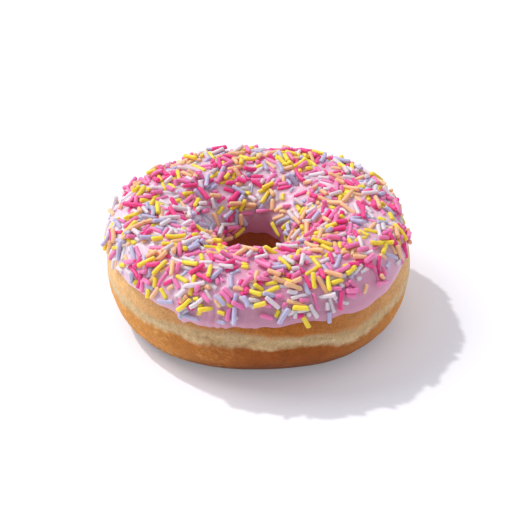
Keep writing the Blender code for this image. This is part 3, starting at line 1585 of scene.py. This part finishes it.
@dataclass(frozen=True)
class LightTableFinish:
    """Matt white acrylic, lit a little from below: the eye sees an even pale ground with light
    shadows and no gloss."""

    tone: str = "#e4e2e6"
    glow_tone: str = "#ebecf1"
    glow: float = 0.22
    roughness: float = 0.9
    cloud_size: float = 400.0

    def make(self) -> bpy.types.Material:
        """Build the material.

        Returns:
            The floor's material.
        """
        surface = Surface("lit_acrylic")
        scale = 1 / (self.cloud_size * MM)
        clouding = surface.add(
            "ShaderNodeTexNoise",
            {"Vector": surface.place, "Scale": scale, "Detail": 2.0, "Roughness": 0.55},
            "Fac",
        )
        faint = surface.add("ShaderNodeMath", {0: clouding, 1: 0.02}, operation="MULTIPLY")
        color = surface.add(
            "ShaderNodeMix",
            {0: faint, 6: linear(self.tone), 7: linear(self.glow_tone)},
            2,
            data_type="RGBA",
        )
        surface.feed(color)
        surface.set(
            Roughness=self.roughness,
            Specular_IOR_Level=0.1,
            Emission_Color=linear(self.glow_tone),
            Emission_Strength=self.glow,
        )
        return surface.material


@dataclass
class Studio:
    """The pale floor, the light and the camera. Sizes are in metres and angles in degrees."""

    floor_size: float = 6.0
    key_turn: float = 147.0
    key_height: float = 56.0
    key_strength: float = 1.5
    key_spread: float = 2.5
    box_turn: float = 168.0
    box_height: float = 50.0
    box_distance: float = 1.1
    box_strength: float = 3.8
    box_size: float = 0.55
    sky_strength: float = 0.65
    sky_tone: str = "#f4f6ff"
    view_height: float = 32.0
    view_distance: float = 0.45
    aim: tuple[float, float, float] = (-0.0003, 0.0, 0.0184)
    lens: float = 100.2

    def build(self) -> None:
        """Make the floor, the lights, the sky and the camera."""
        self.lay_floor()
        self.hang_lights()
        self.set_sky()
        self.set_camera()
        bpy.context.scene.view_settings.view_transform = "Standard"

    def lay_floor(self) -> None:
        """Make the floor."""
        shape = bmesh.new()
        bmesh.ops.create_grid(shape, x_segments=1, y_segments=1, size=self.floor_size / 2)
        mesh = finished_mesh("floor", shape)
        mesh.materials.append(LightTableFinish().make())
        floor = bpy.data.objects.new("floor", mesh)
        bpy.context.scene.collection.objects.link(floor)

    def hang_lights(self) -> None:
        """Make the key light and the soft box beside it."""
        key = bpy.data.lights.new("key", "SUN")
        key.energy = self.key_strength
        key.angle = math.radians(self.key_spread)
        self.aim_light("key", key, self.toward(self.key_turn, self.key_height))
        box = bpy.data.lights.new("soft_box", "AREA")
        box.energy = self.box_strength
        box.shape = "DISK"
        box.size = self.box_size
        place = self.toward(self.box_turn, self.box_height) * self.box_distance
        self.aim_light("soft_box", box, place)

    def toward(self, turn: float, height: float) -> Vector:
        """Point from the doughnut to a place in the sky.

        Args:
            turn: the place's turn around the doughnut, in degrees.
            height: its height above the floor, in degrees.

        Returns:
            The direction, of length 1.
        """
        across = math.cos(math.radians(height))
        turn = math.radians(turn)
        return Vector((
            math.cos(turn) * across, math.sin(turn) * across, math.sin(math.radians(height))
        ))

    def aim_light(self, name: str, light: bpy.types.Light, place: Vector) -> None:
        """Put a light in the scene, shining at the doughnut.

        Args:
            name: the lamp's name.
            light: the light.
            place: where it hangs, in metres.
        """
        lamp = bpy.data.objects.new(name, light)
        lamp.location = place
        lamp.rotation_euler = (-place).to_track_quat("-Z", "Y").to_euler()
        bpy.context.scene.collection.objects.link(lamp)

    def set_sky(self) -> None:
        """Light the scene faintly and evenly from all round."""
        world = bpy.data.worlds.new("sky")
        world.use_nodes = True
        ground = world.node_tree.nodes["Background"]
        ground.inputs["Color"].default_value = linear(self.sky_tone)
        ground.inputs["Strength"].default_value = self.sky_strength
        bpy.context.scene.world = world

    def set_camera(self) -> None:
        """Point the camera at the doughnut."""
        lens = bpy.data.cameras.new("camera")
        lens.lens = self.lens
        lens.sensor_width = 36.0
        lens.clip_start = 0.01
        height = math.radians(self.view_height)
        back = Vector((0, -math.cos(height), math.sin(height)))
        camera = bpy.data.objects.new("camera", lens)
        camera.location = Vector(self.aim) + back * self.view_distance
        camera.rotation_euler = (-back).to_track_quat("-Z", "Y").to_euler()
        bpy.context.scene.collection.objects.link(camera)
        bpy.context.scene.camera = camera


def main() -> None:
    """Load the frame, build every piece and light it."""
    logging.basicConfig(level=logging.INFO, format="%(message)s")
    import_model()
    section = RingSection.from_frame()
    dough = Dough(section).build()
    log.info("dough: %d faces", len(dough.data.polygons))
    icing = Icing(section)
    coat = icing.build()
    log.info("icing: %d faces", len(coat.data.polygons))
    strands = StrandCoat(icing)
    bed = strands.scatter()
    strands.lay_strays()
    icing.creep(coat, bed)
    for piece in strands.build():
        log.info("%s: %d faces", piece.name, len(piece.data.polygons))
    Studio().build()


if __name__ == "__main__":
    main()
